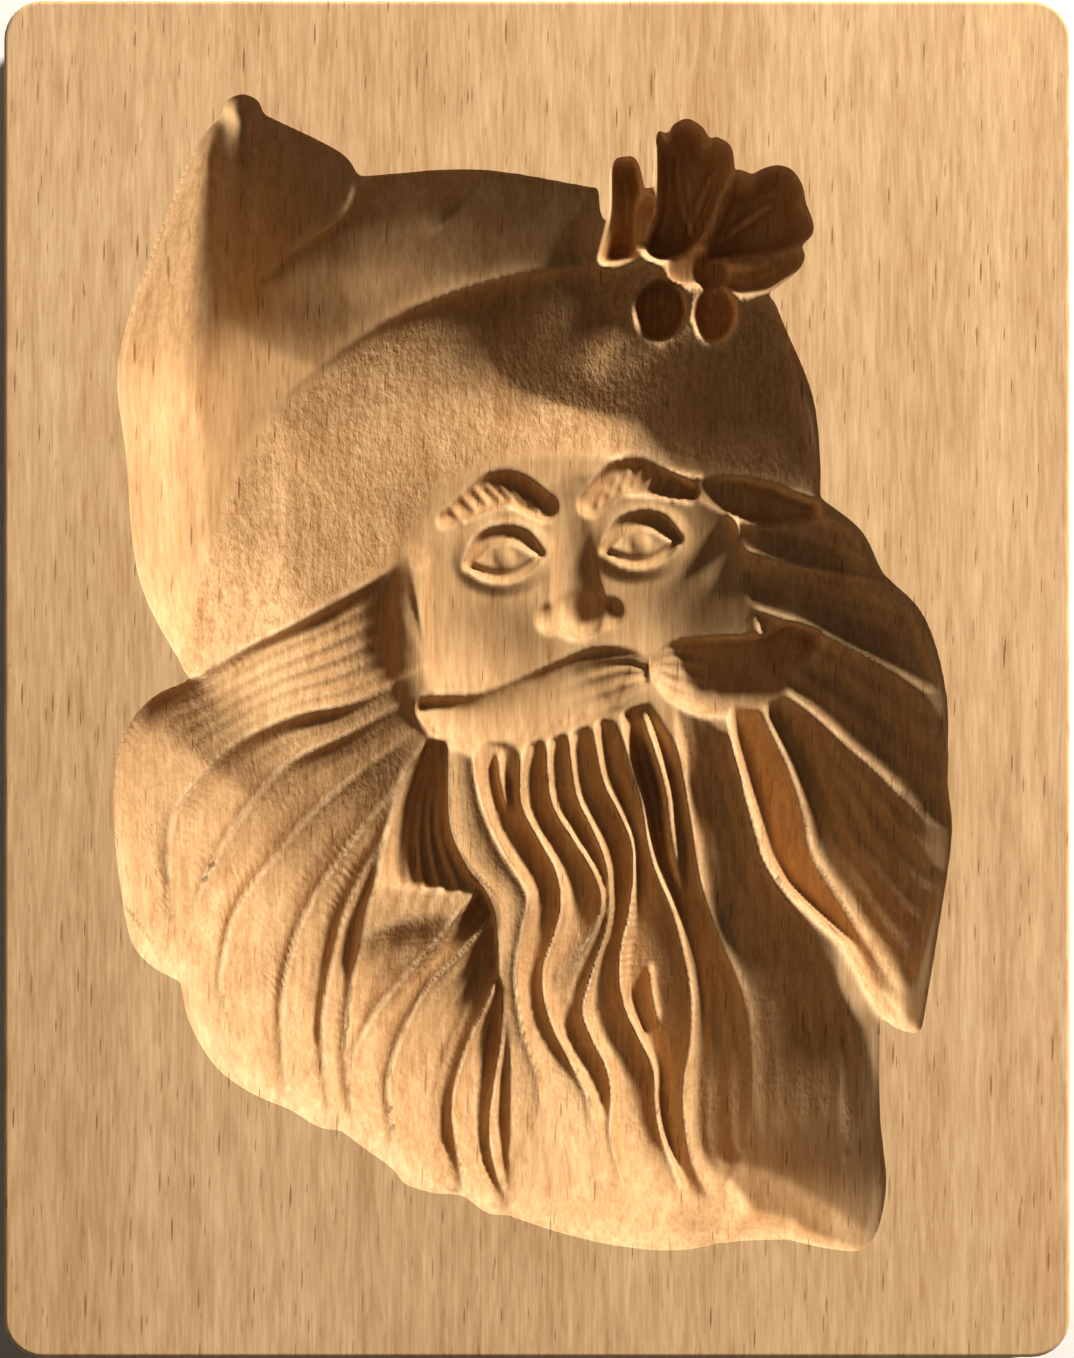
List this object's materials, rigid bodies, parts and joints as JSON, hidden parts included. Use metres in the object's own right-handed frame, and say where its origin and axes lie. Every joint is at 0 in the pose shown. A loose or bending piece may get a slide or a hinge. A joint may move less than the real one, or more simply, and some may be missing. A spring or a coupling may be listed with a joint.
{
  "type": "carved wooden cookie mould",
  "caption": "Flat wooden board with rounded corners, its upper face carved hollow with a bearded winter head in a fur-trimmed hood with holly, for pressing cookie dough.",
  "frame": {"origin": "centre of the flat back, the face the board lies on", "axes": "+Z out of the carved face, +Y along the grain and up the carved figure, +X to the right as the carved face is looked at"},
  "size_m": [0.11, 0.14, 0.02],
  "materials": {
    "beech": "bare planed and carved beech, matt with a faint sheen, short brown ray flecks along the grain"
  },
  "bodies": {
    "root": {"mould_board": "beech"}
  },
  "joints": []
}
